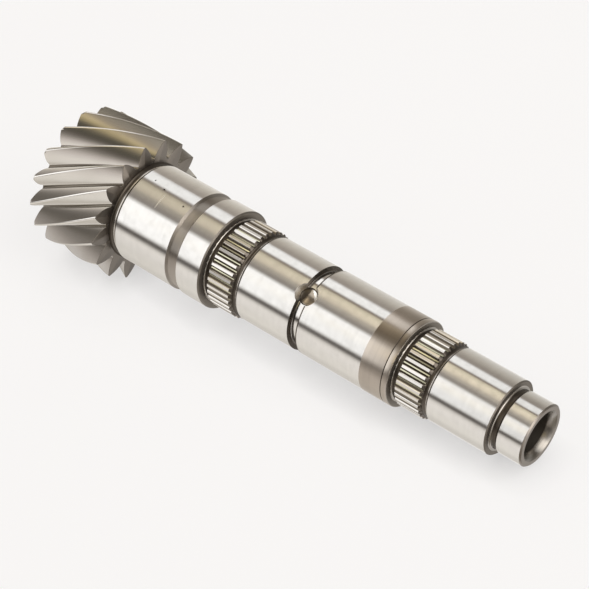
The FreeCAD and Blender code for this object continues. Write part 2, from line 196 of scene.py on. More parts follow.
def buildWorld():
    world = bpy.data.worlds.new("paleStudio")
    bpy.context.scene.world = world
    world.use_nodes = True
    tree = world.node_tree
    tree.nodes.clear()
    coords = addNode(tree, "ShaderNodeTexCoord")
    axes = addNode(tree, "ShaderNodeSeparateXYZ", values={0: coords.outputs["Generated"]})
    rate, share, most = studio["closing"]
    closing = addNode(tree, "ShaderNodeMath", {"operation": "MULTIPLY_ADD"},
                      {0: axes.outputs["Z"], 1: rate, 2: share})
    capped = addNode(tree, "ShaderNodeMath", {"operation": "MINIMUM"},
                     {0: closing.outputs[0], 1: most})
    moved = addNode(tree, "ShaderNodeMath", {"operation": "MULTIPLY"},
                    {0: bearingOf(tree, axes), 1: capped.outputs[0]})
    turn = addNode(tree, "ShaderNodeMapRange", values={
        "Value": moved.outputs[0], "From Min": -math.pi, "From Max": math.pi}).outputs[0]
    height = addNode(tree, "ShaderNodeMapRange", values={
        "Value": axes.outputs["Z"], "From Min": -1.0, "From Max": 1.0}).outputs[0]
    room = addNode(tree, "ShaderNodeValToRGB",
                   {"color_ramp": bearingStops(studio["bearings"])}, {0: turn})
    light = addNode(tree, "ShaderNodeValToRGB",
                    {"color_ramp": leanStops(studio["lean"])}, {0: height}).outputs[0]
    for where, how in studio["zones"].values():
        mask = addNode(tree, "ShaderNodeValToRGB", {"color_ramp": bearingStops(where)}, {0: turn})
        lean = addNode(tree, "ShaderNodeValToRGB", {"color_ramp": leanStops(how)}, {0: height})
        mixed = addNode(tree, "ShaderNodeMix", {"data_type": "RGBA"},
                        {0: mask.outputs[0], colourA: light, colourB: lean.outputs[0]})
        light = mixed.outputs[colourOut]
    seen = addNode(tree, "ShaderNodeMix", {"data_type": "RGBA", "blend_type": "MULTIPLY"},
                   {0: 1.0, colourA: room.outputs[0], colourB: light}).outputs[colourOut]
    for how, where in studio["bands"].values():
        mask = addNode(tree, "ShaderNodeValToRGB", {"color_ramp": leanStops(how)}, {0: height})
        band = addNode(tree, "ShaderNodeValToRGB", {"color_ramp": bearingStops(where)}, {0: turn})
        mixed = addNode(tree, "ShaderNodeMix", {"data_type": "RGBA"},
                        {0: mask.outputs[0], colourA: seen, colourB: band.outputs[0]})
        seen = mixed.outputs[colourOut]
    end = studio["endLamp"]
    across = addNode(tree, "ShaderNodeValToRGB",
                     {"color_ramp": bearingStops(end["bearing"])}, {0: turn})
    above = addNode(tree, "ShaderNodeValToRGB",
                    {"color_ramp": leanStops(end["lean"])}, {0: height})
    mask = addNode(tree, "ShaderNodeMath", {"operation": "MULTIPLY"},
                   {0: across.outputs[0], 1: above.outputs[0]})
    seen = addNode(tree, "ShaderNodeMix", {"data_type": "RGBA"},
                   {0: mask.outputs[0], colourA: seen, colourB: end["colour"]}).outputs[colourOut]
    # the camera sees the plain backdrop, and the steel mirrors the room
    lit = addNode(tree, "ShaderNodeBackground", values={0: seen, 1: studio["strength"]})
    pale = addNode(tree, "ShaderNodeBackground",
                   values={0: linearColour(studio["backdrop"]), 1: 1.0})
    rays = addNode(tree, "ShaderNodeLightPath")
    choice = addNode(tree, "ShaderNodeMixShader", values={
        0: rays.outputs["Is Camera Ray"], 1: lit.outputs[0], 2: pale.outputs[0]})
    addNode(tree, "ShaderNodeOutputWorld", values={0: choice.outputs[0]})


table = {
    # the plane that the pinion's teeth and the fourth journal's edge lie on
    "normal": (-0.712, -0.697, -0.085),
    "distance": -37.5,
    "reach": 4000,
    "colour": "#F5F4F4",
    # how much of the table glows by itself, and how strongly
    "ownShare": 0.75,
    "glow": 1.09,
    # painted contact shadow in the glow, from an occlusion node: how far off the steel it reaches,
    # how much, and how finely that is sampled
    "paintedShadowReach": 14,
    "paintedShadowShare": 0.3,
    "paintedShadowSamples": 16,
}


def buildTable():
    n = Vector(table["normal"]).normalized()
    side = n.cross(Vector((0, 0, 1))).normalized()
    along = n.cross(side)
    centre = n * table["distance"] * mm
    reach = table["reach"] * mm
    corners = [centre + side * a * reach + along * b * reach
               for a, b in ((-1, -1), (1, -1), (1, 1), (-1, 1))]
    mesh = bpy.data.meshes.new("studioTable")
    mesh.from_pydata(corners, [], [(0, 1, 2, 3)])
    if mesh.polygons[0].normal.dot(n) < 0:
        mesh.flip_normals()
    floor = bpy.data.objects.new("studioTable", mesh)
    bpy.context.collection.objects.link(floor)
    material = bpy.data.materials.new("paleTable")
    material.use_nodes = True
    tree = material.node_tree
    tree.nodes.clear()
    # the table keeps its real soft shadow in its matt share, and its glow carries a painted contact
    # shadow; the table is left out of reflections, where the room stands for it. Nothing hides
    # behind it: from below it is clear
    pale = linearColour(table["colour"])
    matt = addNode(tree, "ShaderNodeBsdfDiffuse", values={0: pale})
    # painted contact shadow: an occlusion node darkens the glow near the steel
    near = addNode(tree, "ShaderNodeAmbientOcclusion", {"samples": table["paintedShadowSamples"]},
                   {"Color": pale, "Distance": table["paintedShadowReach"] * mm})
    glowWithPaintedShadow = addNode(tree, "ShaderNodeMix", {"data_type": "RGBA"},
                    {0: table["paintedShadowShare"], colourA: pale, colourB: near.outputs[0]})
    glow = addNode(tree, "ShaderNodeEmission",
                   values={0: glowWithPaintedShadow.outputs[colourOut], 1: table["glow"]})
    both = addNode(tree, "ShaderNodeMixShader", values={
        0: table["ownShare"], 1: matt.outputs[0], 2: glow.outputs[0]})
    clear = addNode(tree, "ShaderNodeBsdfTransparent")
    rays = addNode(tree, "ShaderNodeLightPath")
    facing = addNode(tree, "ShaderNodeNewGeometry")
    hidden = addNode(tree, "ShaderNodeMath", {"operation": "MAXIMUM"},
                     {0: rays.outputs["Is Glossy Ray"], 1: facing.outputs["Backfacing"]})
    choice = addNode(tree, "ShaderNodeMixShader", values={
        0: hidden.outputs[0], 1: both.outputs[0], 2: clear.outputs[0]})
    addNode(tree, "ShaderNodeOutputMaterial", values={0: choice.outputs[0]})
    mesh.materials.append(material)


lamp = {
    "size": 1500,
    "power": 3.0,
    "colour": "#FFFDF8",
    # it shines from this direction, this far from the point that it is aimed at
    "from": (-0.85, -0.5, 0.15),
    "distance": 1300,
    "aim": (0, 0, 130),
}


def buildLamp():
    light = bpy.data.lights.new("softLamp", "AREA")
    light.shape = "DISK"
    light.size = lamp["size"] * mm
    light.energy = lamp["power"]
    light.color = linearColour(lamp["colour"])[:3]
    holder = bpy.data.objects.new("softLamp", light)
    direction = Vector(lamp["from"]).normalized()
    holder.location = Vector(lamp["aim"]) * mm + direction * lamp["distance"] * mm
    holder.rotation_euler = direction.to_track_quat("Z", "Y").to_euler()
    holder.visible_glossy = False
    bpy.context.collection.objects.link(holder)


camera = {
    "place": (-0.31, -700.94, 508.9),
    "right": (-0.49662, 0.41379, 0.76298),
    "up": (-0.86796, -0.23676, -0.43655),
    "lens": 113.07,
    "sensor": 36,
    "clip": (10, 50000),
}


def buildCamera():
    data = bpy.data.cameras.new("photoView")
    data.lens = camera["lens"]
    data.sensor_fit = "HORIZONTAL"
    data.sensor_width = camera["sensor"]
    data.clip_start, data.clip_end = [end * mm for end in camera["clip"]]
    holder = bpy.data.objects.new("photoView", data)
    right = Vector(camera["right"]).normalized()
    up = (Vector(camera["up"]) - right * right.dot(Vector(camera["up"]))).normalized()
    turn = Matrix((right, up, right.cross(up))).transposed().to_4x4()
    holder.matrix_world = Matrix.Translation(Vector(camera["place"]) * mm) @ turn
    bpy.context.collection.objects.link(holder)
    bpy.context.scene.camera = holder


buildWorld()
buildTable()
buildLamp()
buildCamera()
print("studio ready")

steelWear = {
    # the stretch of a soft noise that the roughness, the stain and the dull streaks follow
    "roughFrom": (0.3, 0.7),
    "stainFrom": (0.45, 0.75),
    "streakFrom": (0.4, 0.7),
    # how far the roughness wanders to either side
    "wander": 0.02,
    "streakColour": "#5A544D",
    # rings: noise cells per metre round the axis, their length along it in pitches, their depth
    "ringRound": 30,
    "ringCell": 4,
    "ringDepth": 0.02,
    "patchDetail": 4.0,
    "ringDetail": 3.0,
}


def steel(name, colour, roughness, drawn=0.0, ring=0.0, ringPitch=0.35, streak=0.0, stain=0.0,
          stainColour="#6B6257", stainSize=11.0, paintedReflectionBands=None):
    # bare steel: its own colour, a roughness that wanders a little, oil or heat stain in soft
    # patches, and fine rings round the axis from the grinding wheel or the turning tool; drawn
    # stretches a reflection along the axis, across those rings. Pitches are millimetres, and the
    # rings are drawn several times as coarse as real ones, which are too fine to show
    material = bpy.data.materials.new(name)
    material.use_nodes = True
    tree = material.node_tree
    tree.nodes.clear()
    coords = addNode(tree, "ShaderNodeTexCoord")
    around, along = steelWear["ringRound"], 1000 / ringPitch / steelWear["ringCell"]
    stretched = addNode(tree, "ShaderNodeMapping", {"vector_type": "POINT"},
                        {0: coords.outputs["Object"], "Scale": (around, around, along)})
    lines = addNode(tree, "ShaderNodeTexNoise", values={
        0: stretched.outputs[0], "Scale": 1.0, "Detail": steelWear["ringDetail"]})
    patches = addNode(tree, "ShaderNodeTexNoise", values={
        0: coords.outputs["Object"], "Scale": 1000 / stainSize,
        "Detail": steelWear["patchDetail"]})
    low, high = steelWear["roughFrom"]
    wander = steelWear["wander"]
    rough = addNode(tree, "ShaderNodeMapRange", values={
        "Value": patches.outputs[0], "From Min": low, "From Max": high,
        "To Min": max(roughness - wander, wander), "To Max": roughness + wander})
    low, high = steelWear["stainFrom"]
    tint = addNode(tree, "ShaderNodeMapRange", values={
        "Value": patches.outputs[0], "From Min": low, "From Max": high, "To Max": stain})
    stained = addNode(tree, "ShaderNodeMix", {"data_type": "RGBA"},
                      {0: tint.outputs[0], colourA: linearColour(colour),
                       colourB: linearColour(stainColour)})
    low, high = steelWear["streakFrom"]
    dull = addNode(tree, "ShaderNodeMapRange", values={
        "Value": lines.outputs[0], "From Min": low, "From Max": high, "To Max": streak})
    shown = addNode(tree, "ShaderNodeMix", {"data_type": "RGBA"},
                    {0: dull.outputs[0], colourA: stained.outputs[colourOut],
                     colourB: linearColour(steelWear["streakColour"])})
    if paintedReflectionBands:
        # painted reflection: dark bands by the bearing round the shaft, where the steel mirrors
        # dark parts of the room; the colour, and its share at each stop
        paintedBandColour, stops = paintedReflectionBands
        axes = addNode(tree, "ShaderNodeSeparateXYZ", values={0: coords.outputs["Object"]})
        turn = addNode(tree, "ShaderNodeMapRange", values={
            "Value": bearingOf(tree, axes), "From Min": -math.pi, "From Max": math.pi})
        share = addNode(tree, "ShaderNodeValToRGB",
                        {"color_ramp": bearingStops(stops)}, {0: turn.outputs[0]})
        shown = addNode(tree, "ShaderNodeMix", {"data_type": "RGBA"},
                        {0: share.outputs[0], colourA: shown.outputs[colourOut],
                         colourB: linearColour(paintedBandColour)})
    bump = addNode(tree, "ShaderNodeBump", values={
        "Strength": ring, "Distance": steelWear["ringDepth"] * mm, "Height": lines.outputs[0]})
    shader = addNode(tree, "ShaderNodeBsdfPrincipled", values={
        "Base Color": shown.outputs[colourOut], "Metallic": 1.0, "Roughness": rough.outputs[0],
        "Normal": bump.outputs[0]})
    if drawn:
        tangent = addNode(tree, "ShaderNodeTangent", {"direction_type": "RADIAL", "axis": "Z"})
        tree.links.new(tangent.outputs[0], shader.inputs["Tangent"])
        shader.inputs["Anisotropic"].default_value = drawn
        # a quarter turn off the tangent, which runs round the axis
        shader.inputs["Anisotropic Rotation"].default_value = 0.25
    addNode(tree, "ShaderNodeOutputMaterial", values={0: shader.outputs[0]})
    return material


# cylindrically ground journals: near mirrors round the axis, with each band drawn out along it
groundSteel = steel("groundSteel", "#DEDCD9", 0.19, drawn=1.0, ring=0.1, ringPitch=0.25,
                    streak=0.03, stain=0.04, stainColour="#A79C86", stainSize=3.5)
# the unground stretch before the second splines, hard turned: it blurs the bands that the ground
# steel shows, and carries dark bands painted by the bearing round the shaft as painted reflection
satinSteel = steel("satinSteel", "#C9BFB4", 0.31, drawn=0.5, ring=0.1, ringPitch=0.3, streak=0.1,
                   stain=0.1, paintedReflectionBands=("#5A5148", [
                       (-180, 0.2), (-86, 0.22), (-70, 0.28), (-58, 0.4), (-50, 0.27), (-44, 0.0),
                       (-29, 0.02), (-26, 0.3), (-22, 0.67), (-18, 0.79), (-14, 0.8), (-10, 0.65),
                       (-6, 0.23), (-2, 0.1), (2, 0.0), (24, 0.0), (27, 0.1), (30, 0.4),
                       (34, 0.52), (42, 0.34), (58, 0.28), (70, 0.18), (86, 0.12), (180, 0.2)]))
# the relief turned between the two ends of the first journal: duller than the ground steel
reliefSteel = steel("reliefSteel", "#B4ACA3", 0.4, drawn=1.0, ring=0.1, ringPitch=0.3,
                    streak=0.12, stain=0.1)
# turned shoulders and the run-out of the splines: grey, with the tool's rings
turnedSteel = steel("turnedSteel", "#6E6760", 0.28, drawn=0.8, ring=0.2, ringPitch=0.3,
                    streak=0.15, stain=0.15)
# walls of the undercuts: rough from the parting tool, so they take light from all round
wallSteel = steel("wallSteel", "#8F8880", 0.5, ring=0.2, ringPitch=0.3, streak=0.2, stain=0.15)
# lighter steel on the part of each fillet and small ring that faces the lamps: a painted highlight
# ring, set beside painted shade
filletHighlightSteel = steel("filletHighlightSteel", "#C2BCB5", 0.24, drawn=0.4, ring=0.05)
# dark steel as painted shade: on undercut floors, the ring groove's wall and edges, the hairline
# groove, and the ball pocket's step and the shaded side of its floor
recessShadeSteel = steel("recessShadeSteel", "#5A534B", 0.36, drawn=0.4, ring=0.15, ringPitch=0.3, stain=0.2,
                  stainColour="#3A3530")
# ring groove, ground with its edges sharp: a mirror floor
grooveSteel = steel("grooveSteel", "#D6D3CF", 0.12, drawn=0.6, ring=0.05, ringPitch=0.25)
# ball pocket, milled and lapped by its ball: a brown polished floor
pocketSteel = steel("pocketSteel", "#A3988A", 0.2, ring=0.05, stain=0.25)
# flare of the pocket, stoned by hand: lighter and a little scattered; it also gives the painted
# highlight on the pocket's floor
flareSteel = steel("flareSteel", "#EFEBE5", 0.3, ring=0.05, stain=0.1)
# lip of a scratch, torn and so rough that it shows light against the tan band
scratchSteel = steel("scratchSteel", "#FBF6EA", 0.62)
# small pits with old oil in them: dark dots on the bright journal
pitSteel = steel("pitSteel", "#2E2822", 0.5)
# drilled bore with its scale left on
boreSteel = steel("boreSteel", "#615C55", 0.65, ring=0.5, stain=0.3)
# countersunk mouth of the bore, turned bright: it scatters light across its rings
mouthSteel = steel("mouthSteel", "#ACA7A0", 0.3, drawn=0.8, ring=0.3, ringPitch=0.25,
                   streak=0.25, stain=0.1)
# ground spline lands, and the tips of the pinion's teeth: each shows one flat tone
landSteel = steel("landSteel", "#DAD6D1", 0.12)
# dark steel as painted shade: on the foot of the spline flanks, in the gaps between the pinion's
# teeth, and on the pinion's near bevel
flankSteel = steel("flankSteel", "#6A6359", 0.3, stain=0.15)
# floors of the spline gaps, polished by the hob and yellow with oil
oiledSteel = steel("oiledSteel", "#CFCCB2", 0.2, stain=0.15)
# shaved and run-in pinion flanks: smooth, slightly warm
toothSteel = steel("toothSteel", "#CBC6BE", 0.22, ring=0.02, stain=0.12, stainColour="#948C7C",
                   stainSize=16.0)
# the pinion's faces, turned before the teeth were cut and left as they came from the furnace
toothEndSteel = steel("toothEndSteel", "#8B847D", 0.34, ring=0.1, streak=0.1, stain=0.12)
# end of the spigot, faced in a lathe
faceSteel = steel("faceSteel", "#A49C94", 0.34, ring=0.1, streak=0.1, stain=0.12)
print("steels ready")


def corner(r, z, size, startAngle, endAngle, steps=6):
    # points of a fillet about (r, z); angles in degrees from the radial direction towards +Z
    points = []
    for i in range(steps + 1):
        a = math.radians(startAngle + (endAngle - startAngle) * i / steps)
        points.append((r + size * math.cos(a), z + size * math.sin(a)))
    return points


shaft = {
    "segments": 256,
    # edges sharper than this, in degrees, stay hard
    "sharp": 30,
    # the outline from the pinion's end to the bore's point, as runs of radii and heights, each
    # with the steel that the surface after its points has
    "outline": [
        (turnedSteel, [(0, 40.4)]),
        # relief beside the pinion, painted dark as shade, with a fillet against the pinion's face
        # and a small bump painted as a highlight ring
        (recessShadeSteel, corner(23.8, 41.6, 1.2, 270, 180)),
        (recessShadeSteel, [(22.6, 42.15)]),
        (filletHighlightSteel, [(22.62, 42.25), (22.66, 42.5), (22.62, 42.75)]),
        (recessShadeSteel, [(22.6, 42.85), (22.6, 43.3), (22.75, 43.45)]),
        # the first journal with its matt relief, and the undercut to the splines, its fillet split
        # into a painted highlight and painted shade
        (groundSteel, [(23.45, 44.15), (23.6, 44.3), (23.6, 44.6), (23.6, 59.3), (23.6, 74.1)]),
        (reliefSteel, [(23.6, 74.4), (22.6, 75.4), (22.55, 75.6), (22.55, 79.7), (22.6, 79.9)]),
        (turnedSteel, [(23.5, 80.8)]),
        (groundSteel, [(23.6, 80.95), (23.6, 81.3), (23.6, 93.2)]),
        (wallSteel, [(23.6, 93.5), (23.15, 93.95)]),
        (wallSteel, [(23.0, 94.1), (20.7, 94.1)]),
        (filletHighlightSteel, corner(20.5, 95.0, 0.9, 270, 222, 5)),
        (recessShadeSteel, corner(20.5, 95.0, 0.9, 215, 180, 3) + [(19.6, 96.8)]),
        # between the first spline's teeth, and the neck after them, painted dark as shade beside a
        # painted highlight ring
        (oiledSteel, [(19.8, 96.8)]),
        (recessShadeSteel, [(19.8, 109.6), (19.65, 110.35)] + corner(19.9, 111.0, 0.7, 200, 160, 3)),
        (filletHighlightSteel, [(19.2, 111.7), (19.35, 112.2)]),
        (wallSteel, [(19.5, 112.5), (19.9, 113.0)]),
        # the second journal, the ring's groove with its wall painted dark as shade, and the long
        # journal
        (groundSteel, [(20.0, 113.15), (20.0, 113.5), (20.0, 127.4), (20.0, 141.3)]),
        (recessShadeSteel, [(20.0, 141.55), (19.85, 141.7), (18.2, 141.7)]),
        (turnedSteel, corner(18.05, 142.15, 0.45, 270, 225, 4)),
        (grooveSteel, corner(18.05, 142.15, 0.45, 210, 180, 2)),
        (grooveSteel, [(17.6, 142.6), (17.6, 145.8), (17.7, 145.95)]),
        (recessShadeSteel, [(19.6, 146.05), (19.93, 146.2), (20.0, 146.75)]),
        (groundSteel, [(20.0, 146.8), (20.0, 147.1), (20.0, 163.7), (20.0, 180.1)]),
        # the hard-turned stretch with its painted reflection bands, and a hairline groove painted
        # dark as shade
        (satinSteel, [(20.0, 180.35), (20.0, 180.6), (20.0, 191.3)]),
        (recessShadeSteel, [(19.98, 191.42), (19.8, 191.6), (19.98, 191.78)]),
        (satinSteel, [(20.0, 191.9), (20.0, 194.2)]),
        (filletHighlightSteel, [(19.9, 194.5), (19.7, 194.6)]),
        (wallSteel, [(19.6, 194.6), (17.6, 194.6)]),
        (filletHighlightSteel, corner(17.4, 195.6, 1.0, 270, 222, 5)),
        (recessShadeSteel, corner(17.4, 195.6, 1.0, 215, 180, 3) + [(16.4, 196.9)]),
        # between the second spline's teeth, and the neck after them, painted dark as shade beside a
        # painted highlight ring
        (oiledSteel, [(16.6, 196.9)]),
        (recessShadeSteel, [(16.6, 209.9), (16.45, 210.6)] + corner(16.7, 211.3, 0.6, 200, 160, 3)),
        (filletHighlightSteel, [(16.1, 211.9), (16.25, 212.35)]),
        (wallSteel, [(16.4, 212.6), (16.9, 213.05)]),
        # the fourth journal, its neck with a painted highlight and painted shade on its fillet, and
        # the spigot
        (groundSteel, [(17.0, 213.2), (17.0, 213.5), (17.0, 227.4), (17.0, 241.4)]),
        (wallSteel, [(17.0, 241.65), (16.6, 242.05)]),
        (wallSteel, [(16.45, 242.15), (15.0, 242.15)]),
        (filletHighlightSteel, corner(14.8, 243.55, 1.4, 270, 225, 5)),
        (recessShadeSteel, corner(14.8, 243.55, 1.4, 218, 180, 3)),
        (recessShadeSteel, [(13.4, 244.5)] + corner(14.2, 244.6, 0.8, 180, 130, 3)),
        (groundSteel, [(14.0, 245.5), (14.1, 245.65), (14.1, 245.9), (14.1, 251.2), (14.1, 256.4)]),
        # the end, its bore's mouth and the bore
        (faceSteel, [(14.1, 256.7), (13.6, 257.25)]),
        (faceSteel, [(13.4, 257.4), (12.5, 257.4), (11.6, 257.4)]),
        (mouthSteel, [(11.5, 257.33), (10.3, 255.8), (9.85, 254.6), (9.75, 254.2)]),
        (boreSteel, [(9.7, 253.9), (9.7, 220.0), (9.7, 187.4), (0, 181.6)]),
    ],
}


def shaftOutline():
    # the outline's points, and for each the steel that follows it
    points = []
    steels = []
    for material, run in shaft["outline"]:
        points += run
        steels += [material] * len(run)
    return points, steels


def turnedMesh(name, points, steels, segments):
    # a closed outline turned round the axis; each band takes the steel of its first point
    vertices = []
    rings = []
    for r, z in points:
        if r == 0:
            rings.append([len(vertices)] * segments)
            vertices.append((0, 0, z * mm))
        else:
            start = len(vertices)
            rings.append(list(range(start, start + segments)))
            for i in range(segments):
                a = 2 * math.pi * i / segments
                vertices.append((r * mm * math.sin(a), -r * mm * math.cos(a), z * mm))
    palette = []
    faces = []
    indices = []
    for band in range(len(points) - 1):
        lower, upper = rings[band], rings[band + 1]
        if steels[band] not in palette:
            palette.append(steels[band])
        slot = palette.index(steels[band])
        for i in range(segments):
            j = (i + 1) % segments
            if lower[i] == lower[j]:
                faces.append((lower[i], upper[j], upper[i]))
            elif upper[i] == upper[j]:
                faces.append((lower[i], lower[j], upper[i]))
            else:
                faces.append((lower[i], lower[j], upper[j], upper[i]))
            indices.append(slot)
    mesh = bpy.data.meshes.new(name)
    mesh.from_pydata(vertices, [], faces)
    for material in palette:
        mesh.materials.append(material)
    mesh.polygons.foreach_set("material_index", indices)
    return mesh


def showObject(name, mesh):
    piece = bpy.data.objects.new(name, mesh)
    bpy.context.collection.objects.link(piece)
    return piece


def smoothFaces(mesh, angle):
    mesh.polygons.foreach_set("use_smooth", [True] * len(mesh.polygons))
    mesh.set_sharp_from_angle(angle=math.radians(angle))


def plainCopy(piece, name):
    # the evaluated modifiers as a plain mesh on a fresh object
    depsgraph = bpy.context.evaluated_depsgraph_get()
    mesh = bpy.data.meshes.new_from_object(piece.evaluated_get(depsgraph))
    mesh.name = name
    bpy.data.objects.remove(piece)
    return showObject(name, mesh)


pocket = {
    "height": 144.3,
    "bearing": -8.3,
    "radius": 5.4,
    "floorRadius": 3.6,
    "depth": 4.4,
    "journalRadius": 20,
    # how far the floor's middle lies below its edge
    "hollow": 0.7,
    # step at the floor's edge, painted dark as shade: two points outwards and up from it
    "step": [(0.35, 0.25), (0.45, 0.6)],
    # how far the cutter stands out of the journal
    "overrun": 3,
    "segments": 96,
    "floorRings": 8,
    # the floor gets painted shade towards the pinion and a painted highlight towards the spigot,
    # where a point's height in the pocket and its place round the shaft, each times its factor, add
    # up to more than the third
    "paintedShade": (-0.97, -0.23, 1.5),
    "paintedHighlight": (0.76, -0.65, 2.1),
}


def pocketCutter():
    # the ball's pocket: a flared wall, a step painted dark as shade and a hollow floor, along the
    # pocket's own axis
    radius, floorRadius, depth = pocket["radius"], pocket["floorRadius"], pocket["depth"]
    overrun, rings = pocket["overrun"], pocket["floorRings"]
    outline = []
    steels = []
    for i in range(rings + 1):
        share = i / rings
        outline.append((floorRadius * share, pocket["hollow"] * share * share))
        steels.append(pocketSteel if i < rings else recessShadeSteel)
    rim = outline[-1][1]
    outline += [(floorRadius + out, rim + up) for out, up in pocket["step"]]
    steels += [recessShadeSteel, flareSteel]
    flareRadius, flareDepth = outline[-1]
    slope = (radius - flareRadius) / (depth - flareDepth)
    outline += [(radius, depth), (radius + slope * overrun, depth + overrun), (0, depth + overrun)]
    steels += [flareSteel] * 3
    mesh = turnedMesh("pocketCutter", outline, steels, pocket["segments"])
    a = math.radians(pocket["bearing"])
    outward = Vector((math.sin(a), -math.cos(a), 0))
    turn = outward.to_track_quat("Z", "Y").to_matrix().to_4x4()
    middle = outward * (pocket["journalRadius"] - depth) * mm
    mesh.transform(Matrix.Translation(middle + Vector((0, 0, pocket["height"] * mm))) @ turn)
    # painted highlight on the floor's side towards the spigot, and painted shade on its side
    # towards the pinion
    paintedShade, paintedHighlight = pocket["paintedShade"], pocket["paintedHighlight"]
    paintedShadeSlot, paintedHighlightSlot = mesh.materials.find("recessShadeSteel"), mesh.materials.find("flareSteel")
    floor = mesh.materials.find("pocketSteel")
    across = Vector((math.cos(a), math.sin(a), 0))
    for face in mesh.polygons:
        if face.material_index == floor:
            up, side = face.center.z / mm - pocket["height"], face.center.dot(across) / mm
            if paintedShade[0] * up + paintedShade[1] * side > paintedShade[2]:
                face.material_index = paintedShadeSlot
            elif paintedHighlight[0] * up + paintedHighlight[1] * side > paintedHighlight[2]:
                face.material_index = paintedHighlightSlot
    smoothFaces(mesh, shaft["sharp"])
    return showObject("pocketCutter", mesh)


def buildShaft():
    points, steels = shaftOutline()
    mesh = turnedMesh("turnedShaft", points, steels, shaft["segments"])
    piece = showObject("turnedShaftBlank", mesh)
    cutter = pocketCutter()
    cut = piece.modifiers.new("pocket", "BOOLEAN")
    cut.operation = "DIFFERENCE"
    cut.solver = "EXACT"
    cut.material_mode = "TRANSFER"
    cut.object = cutter
    piece = plainCopy(piece, "turnedShaft")
    bpy.data.objects.remove(cutter)
    smoothFaces(piece.data, shaft["sharp"])
    return piece


turnedShaft = buildShaft()
print("shaft turned", len(turnedShaft.data.polygons))


def markFaces(mesh, kinds):
    # a yes-or-no face attribute for each steel, which the ring's Set Material nodes read
    for kind in sorted(set(kinds)):
        mark = mesh.attributes.new(kind, "BOOLEAN", "FACE")
        mark.data.foreach_set("value", [k == kind for k in kinds])


splineForm = {
    # foot of a flank: points sideways off the flank and above the gap's floor
    "foot": [(0.25, -0.1), (0.12, 0.01), (0.0, 0.12)],
    # rows of the flank itself, by the share of its rise
    "flank": (0.35, 0.65),
    # edge of the land: points off its half width and below the tip, as shares of the edge
    "round": [(0.55, 1.0), (0.0, 0.35), (-0.6, 0.0)],
    # points of the section, from the foot, whose faces take the dark steel as painted shade
    "shadePoints": 4,
    # rows at the end that belong to the tool's run-out, and where the flat one before it starts
    "runOutRows": 3,
    "runOutMargin": 0.3,
    "sharp": 14,
}


def splineToothMesh(name, size):
    # one tooth on the azimuth 0, as rows of a section held under the end bevels
    root, tip, edge = size["root"], size["tip"], size["edge"]
    halfFoot = (2 * math.pi * root / size["teeth"] - size["gapFloor"]) / 2
    halfLand = (2 * math.pi * tip / size["teeth"] - size["gapTop"]) / 2
    rise = tip - root
    lean = (halfFoot - halfLand) / rise
    half = [(halfFoot + aside, root + up) for aside, up in splineForm["foot"]]
    half += [(halfFoot - lean * rise * share, root + rise * share)
             for share in splineForm["flank"]]
    half += [(halfLand + edge * aside, tip - edge * down) for aside, down in splineForm["round"]]
    section = half + [(-x, r) for x, r in reversed(half)]
    low, high, lead, bevel = size["start"], size["end"], size["lead"], size["bevel"]
    # heights of the rows, with the radius that cuts each down: a rounded lead-in, the full tooth,
    # and the run-out to the neck
    cuts = [(low, tip - lead), (low + lead * 0.5, tip - lead * 0.42), (low + lead, tip),
            (high - bevel - splineForm["runOutMargin"], tip), (high - bevel, tip),
            (high - bevel * 0.5, tip - rise * 0.5), (high, root + 0.02)]
    vertices = []
    for z, limit in cuts:
        for x, r in section:
            r = min(r, limit)
            # a chord becomes an arc: x is measured round the axis at this radius
            a = x / r
            vertices.append((r * mm * math.sin(a), -r * mm * math.cos(a), z * mm))
    faces = []
    kinds = []
    count, rows = len(section), len(cuts)
    for k in range(rows - 1):
        for i in range(count - 1):
            first, above = k * count + i, (k + 1) * count + i
            faces.append((first, above, above + 1, first + 1))
            # the run-out rows are turned steel; the flank's foot takes the dark steel as painted
            # shade
            if k >= rows - splineForm["runOutRows"]:
                kinds.append("turnedSteel")
            elif min(i, count - 2 - i) < splineForm["shadePoints"]:
                kinds.append("flankSteel")
            else:
                kinds.append("landSteel")
    faces.append(tuple(range(count)))
    faces.append(tuple(range((rows - 1) * count, rows * count))[::-1])
    kinds += ["turnedSteel"] * 2
    mesh = bpy.data.meshes.new(name)
    mesh.from_pydata(vertices, [], faces)
    markFaces(mesh, kinds)
    smoothFaces(mesh, splineForm["sharp"])
    return mesh


